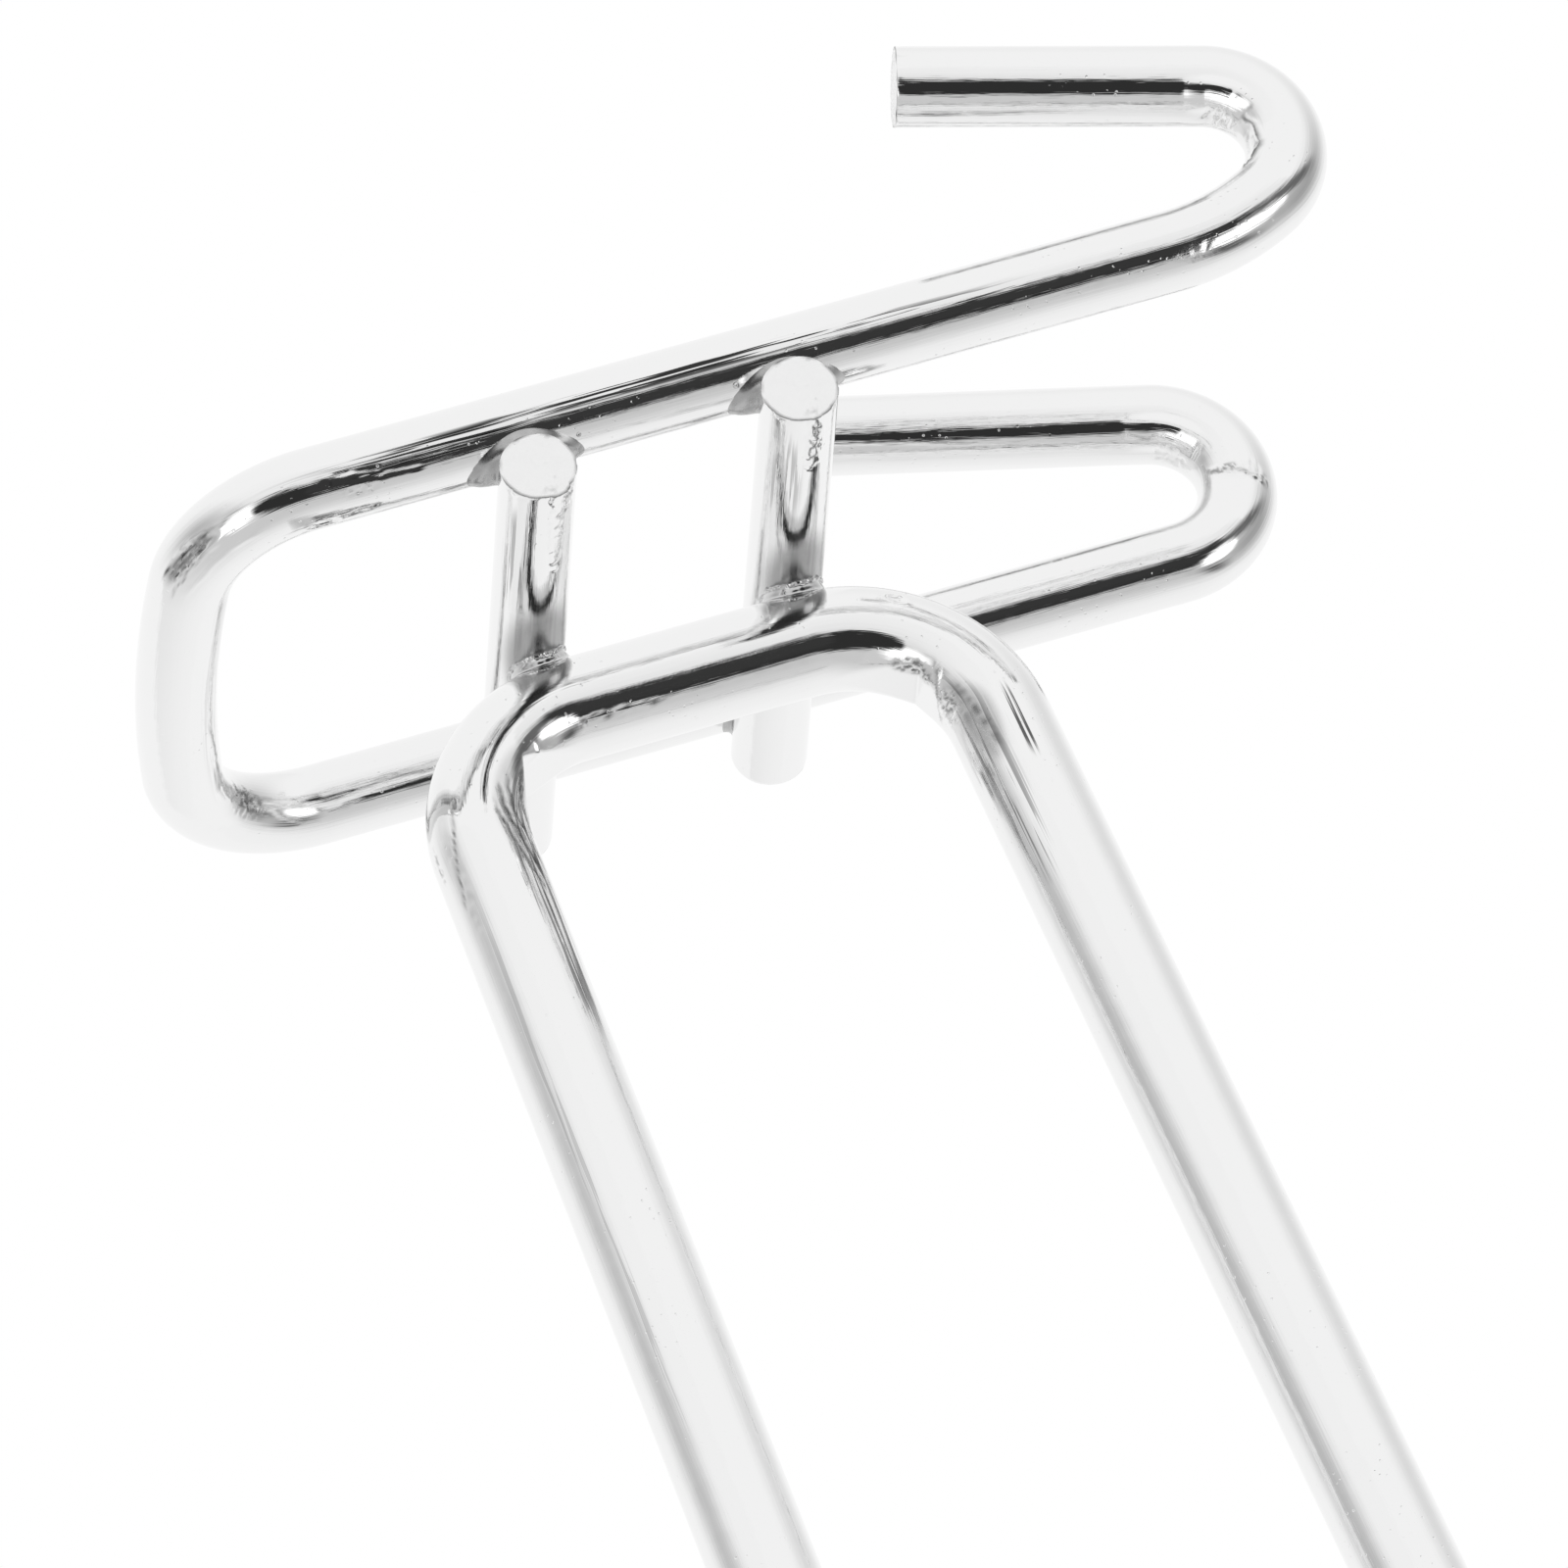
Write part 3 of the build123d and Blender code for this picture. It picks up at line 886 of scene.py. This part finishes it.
    # Scored grooves, which the plate paints black inside as painted shade
    wire.wear(
        "scored",
        ((66.0, 142), (17.0, 11), 0.25), ((79.0, -138), (9.0, 24), 0.7),
        ((115.5, -140), (7.0, 26), 0.6), ((113.8, 175), (2.2, 12), 0.9),
    )
    return wire


# ---------------------------------------------------------------- welds

# A weld reaches this far from its centre at most, stops short of the crossbar's end, and lies
# just under the wires' skins where it adds nothing to them, in millimetres
WELD_REACH = 3.2
WELD_END_ROOM = 0.3
WELD_SHYNESS = 0.03

# Halvings that find a weld's surface along a ray, and how many rings each weld's mesh has
HALVINGS = 13
LEFT_RINGS, RIGHT_RINGS, BRIDGE_RINGS = 80, 60, 130

# How deep the centres of the welds on the arms lie under the arms' fronts
ARM_WELD_SINK = 0.7

LEFT_FILLET, RIGHT_FILLET, BRIDGE_FILLET = 0.7, 0.8, 0.7

# The left arm's flash: its half sizes across and along the arm and how far it stands off, then
# how far it goes behind the weld's centre, and how soft its edge and its foot are
LEFT_FLASH = (1.45, 2.5, 0.2)
FLASH_WRAP = 0.3
FLASH_EDGE, FLASH_FOOT = 0.25, 0.2

# The bridge's collar and the bead on its edge: how far the collar stands off both wires and how
# soft its edge and its foot are, then the bead's radius and how soft its foot is
BRIDGE_COLLAR = 0.45
COLLAR_EDGE, COLLAR_FOOT = 0.9, 0.15
BRIDGE_BEAD = 0.09
BEAD_FOOT = 0.08


def blend(one, other, width):
    """The nearer of two surfaces, with a fillet between them."""
    share = max(0.0, 1 - abs(one - other) / width)
    return min(one, other) - width * share * share / 4


def arm_surface(spot):
    """Distance from the nearer arm's skin."""
    return hypot(abs(spot.x) - ARM_SPACING / 2, spot.y - arms_y) - frame_radius


def bridge_surface(spot):
    """Distance from the prong loop's skin: the bridge is straight between its two bends."""
    above = spot.z - bridge_top
    below = bridge_bottom - spot.z
    if max(above, below) < 0:
        return hypot(spot.x - loop_x, spot.y - bridge_y) - prong_radius
    beyond, radius = (above, UPPER_BEND_RADIUS) if above > 0 else (below, LOWER_BEND_RADIUS)
    off_axis = hypot(spot.y - bridge_y + radius, beyond) - radius
    return hypot(spot.x - loop_x, off_axis) - prong_radius


def make_weld(centre, upright, fillet, flash, bead, x_low, x_high, rings):
    """The metal squeezed out where a crossbar and an upright wire are pressed together hot: a
    fillet, and where they are given an oval of flash on the upright, or a rounded collar with a
    crinkled bead where the crossbar leaves it. Its centre is inside the metal, so it is made of a
    sphere, each of whose points is moved to where its ray leaves the metal."""
    def metal(offset):
        spot = centre + offset
        bar = hypot(spot.y - crossbars_y, offset.z) - crossbar_radius
        mate = upright(spot)
        solid = blend(bar, mate, fillet)
        if flash:
            oval = (hypot(offset.x / flash[0], offset.z / flash[1]) - 1) * flash[0]
            oval = max(oval, offset.y - FLASH_WRAP)
            sheet = -blend(flash[2] - mate, -oval, FLASH_EDGE)
            solid = blend(solid, sheet, FLASH_FOOT)
        if bead:
            collar = -blend(BRIDGE_COLLAR - bar, BRIDGE_COLLAR - mate, COLLAR_EDGE)
            solid = blend(solid, collar, COLLAR_FOOT)
            crinkled = bead * (1 + 1.5 * facets(spot, (0.3, 0.3)))
            rope = hypot(bar - 0.02, mate - BRIDGE_COLLAR) - crinkled
            solid = blend(solid, rope, BEAD_FOOT)
        return solid + WELD_SHYNESS

    bm = bmesh.new()
    poles_along_y = Matrix.Rotation(radians(90), 4, "X")
    bmesh.ops.create_uvsphere(
        bm, u_segments=2 * rings, v_segments=rings, radius=1.0, matrix=poles_along_y
    )
    for vert in bm.verts:
        ray = vert.co.normalized()
        to_end = (x_high if ray.x > 0 else x_low) / ray.x if ray.x else WELD_REACH
        furthest = min(WELD_REACH, to_end)
        near_end, far_end = 0.0, furthest
        for _ in range(HALVINGS):
            middle = (near_end + far_end) / 2
            if metal(ray * middle) < 0:
                near_end = middle
            else:
                far_end = middle
        vert.co = centre + ray * near_end
    bmesh.ops.recalc_face_normals(bm, faces=bm.faces)
    return bm


# Place along and round the left arm, and radius
SPATTER = ((46.2, 128, 0.14), (53.6, 122, 0.11), (58.1, 150, 0.07), (41.2, 133, 0.06))


def make_spatter(wire):
    """Beads of weld metal that froze on the frame's wire."""
    bm = bmesh.new()
    for along, turn, radius in SPATTER:
        where = Matrix.Translation(wire.skin(along, turn))
        ball = bmesh.ops.create_icosphere(bm, subdivisions=3, radius=radius, matrix=where)["verts"]
        for vert in ball:
            vert.co += (vert.co - where.translation) * 0.25 * noise.noise(vert.co * 6)
    return bm


def attach(piece, slot, *replaced):
    """Fixes a piece to the object's root, and hides the nodes it stands for. The finish's slot is
    not used.
    """
    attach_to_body(piece, "root")
    if replaced:
        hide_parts(*replaced)


frame_wire = make_back_frame()
lower_bar = make_crossbar(
    lower_bar_low, lower_bar_high,
    flake((1.9, 77), (3.4, 14), 0.05, 0.35),
    flake((0.4, 70), (0.9, 20), 0.06, 0.5),
    buckle((1.5, 76), (2.6, 14), (0.35, 0.5), 0.04),
)
lower_bar.wear("torn", ((1.8, 77), (3.4, 17), 0.45))
# Scored grooves, painted black inside as painted shade, and a painted reflection by the bridge,
# where the bar is painted grey and made rougher
lower_bar.wear("scored", ((5.0, 140), (4.4, 26), 0.5), ((11.0, 90), (3.5, 60), 0.1))
lower_bar.wear("painted_shade_and_dulling", ((12.2, 88), (4.6, 75), 1.0))
upper_bar = make_crossbar(
    upper_bar_low, upper_bar_high,
    buckle((1.8, 84), (1.9, 17), (0.3, 0.4), 0.11),
    flake((1.6, 84), (2.2, 15), 0.04, 0.4),
)
upper_bar.wear("torn", ((1.8, 84), (2.1, 17), 0.7))
# Scored grooves, painted black inside as painted shade, and a painted reflection by the bridge,
# where the bar is painted grey and made rougher
upper_bar.wear("scored", ((5.0, 125), (4.4, 30), 0.4), ((11.0, 90), (3.5, 60), 0.1))
upper_bar.wear("painted_shade_and_dulling", ((12.8, 88), (4.8, 75), 1.0))
prong_wire = make_prong_loop()

arm_weld_y = arms_y - frame_radius + ARM_WELD_SINK
bridge_weld_y = bridge_y + prong_radius - WELD_DEPTH / 2
half_lower_turn = radians(90 - LOWER_PRONG_DROOP) / 2
half_upper_turn = radians(90 - UPPER_PRONG_RISE) / 2
bridge_bottom = foot_z + LOWER_PRONG_HEIGHT + LOWER_BEND_RADIUS * tan(half_lower_turn)
bridge_top = foot_z + UPPER_PRONG_HEIGHT - UPPER_BEND_RADIUS * tan(half_upper_turn)
half_pitch = ARM_SPACING / 2
welds = {}
for name, low, high in (
    ("lower", lower_bar_low, lower_bar_high), ("upper", upper_bar_low, upper_bar_high),
):
    bar_z = (low.z + high.z) / 2
    welds[name + "_left_weld"] = make_weld(
        Vector((-half_pitch, arm_weld_y, bar_z)), arm_surface, LEFT_FILLET, LEFT_FLASH, None,
        low.x + half_pitch + WELD_END_ROOM, WELD_REACH, LEFT_RINGS,
    )
    welds[name + "_right_weld"] = make_weld(
        Vector((half_pitch, arm_weld_y, bar_z)), arm_surface, RIGHT_FILLET, None, None,
        -WELD_REACH, high.x - half_pitch - WELD_END_ROOM, RIGHT_RINGS,
    )
    welds[name + "_bridge_weld"] = make_weld(
        Vector((loop_x, bridge_weld_y, bar_z)), bridge_surface, BRIDGE_FILLET, None, BRIDGE_BEAD,
        -WELD_REACH, WELD_REACH, BRIDGE_RINGS,
    )

spatter = make_spatter(frame_wire)
SHARP_ANGLE = 50
for name, wire, plate, slot, node in (
    ("frame_wire", frame_wire, frame_plate, "frame_plating", "back_frame"),
    ("lower_crossbar_wire", lower_bar, crossbar_plate, "crossbar_plating", "lower_crossbar"),
    ("upper_crossbar_wire", upper_bar, crossbar_plate, "crossbar_plating", "upper_crossbar"),
    ("prong_wire", prong_wire, prong_plate, "prong_plating", "prong_loop"),
):
    vectors = wire.bm.verts.layers.float_vector
    vectors.remove(vectors["outward"])
    attach(finish_mesh(name, wire.bm, plate, SHARP_ANGLE), slot, node)
for name, bm in welds.items():
    plate = bead_plate if "bridge" in name else flash_plate
    attach(finish_mesh(name, bm, plate), "crossbar_plating")
attach(finish_mesh("weld_spatter", spatter, bead_plate), "frame_plating")
